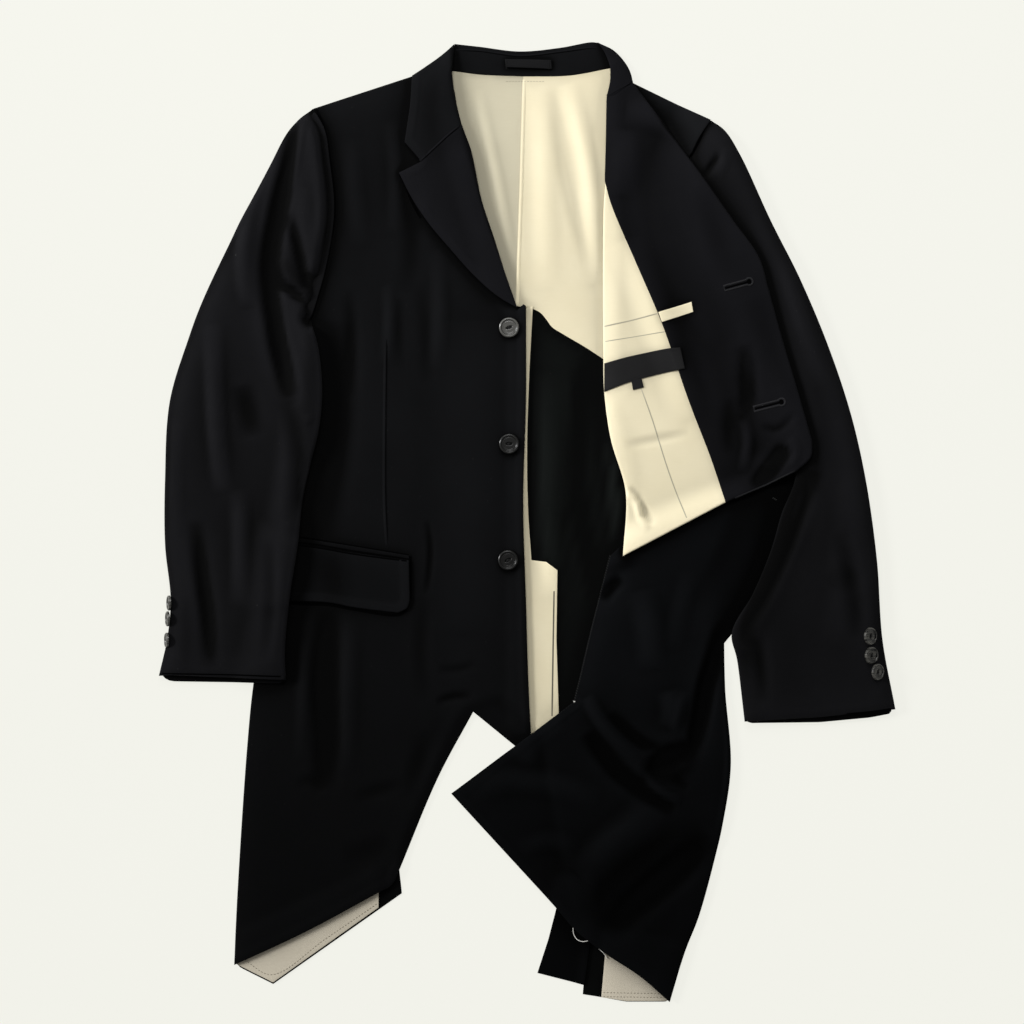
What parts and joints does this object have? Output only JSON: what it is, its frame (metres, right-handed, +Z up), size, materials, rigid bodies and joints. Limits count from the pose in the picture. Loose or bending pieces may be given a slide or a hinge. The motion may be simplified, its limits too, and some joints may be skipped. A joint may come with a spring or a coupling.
{
  "type": "cut-out blazer laid flat, left front turned back",
  "caption": "Black wool blazer with a cut-away hem and cream part lining, laid flat with its left front turned back.",
  "frame": {"origin": "middle of the laid garment's outline, on the surface that it rests on", "axes": "+Y from hem to collar, +X towards the wearer's left sleeve, +Z up out of the cloth"},
  "size_m": [0.7936, 1.0356, 0.0154],
  "materials": {
    "black_wool": "matte fine wool twill",
    "cream_lining": "soft plain-woven cream lining",
    "grey_lining": "soft plain-woven greyish cream lining",
    "black_tape": "woven black tape with a low sheen",
    "horn_button": "grey horn, satin"
  },
  "bodies": {
    "root": {"back_left": "black_wool", "back_right": "black_wool", "under_collar": "black_wool", "collar_stand": "black_wool", "back_lining_left": "cream_lining", "back_lining_right": "cream_lining", "tail_lining_left": "grey_lining", "tail_lining_right": "grey_lining", "vent_left": "black_wool", "front_right_lining": "cream_lining", "front_right": "black_wool", "pocket_jet_right": "black_wool", "pocket_flap_right": "black_wool", "skirt_left": "black_wool", "sleeve_right_under": "black_wool", "sleeve_right_top": "black_wool", "sleeve_left_under": "black_wool", "sleeve_left_top": "black_wool", "lapel_right": "black_wool", "collar_right": "black_wool", "hanger_loop": "black_tape", "front_left_shell": "black_wool", "collar_left": "black_wool", "front_left_facing": "black_wool", "front_left_lining": "cream_lining", "inside_pocket_jet": "cream_lining", "label": "black_tape", "label_tab": "black_tape", "button_front_1": "horn_button", "button_front_2": "horn_button", "button_front_3": "horn_button", "button_sleeve_left_1": "horn_button", "button_sleeve_left_2": "horn_button", "button_sleeve_left_3": "horn_button", "button_sleeve_right_1": "horn_button", "button_sleeve_right_2": "horn_button", "button_sleeve_right_3": "horn_button"}
  },
  "joints": []
}
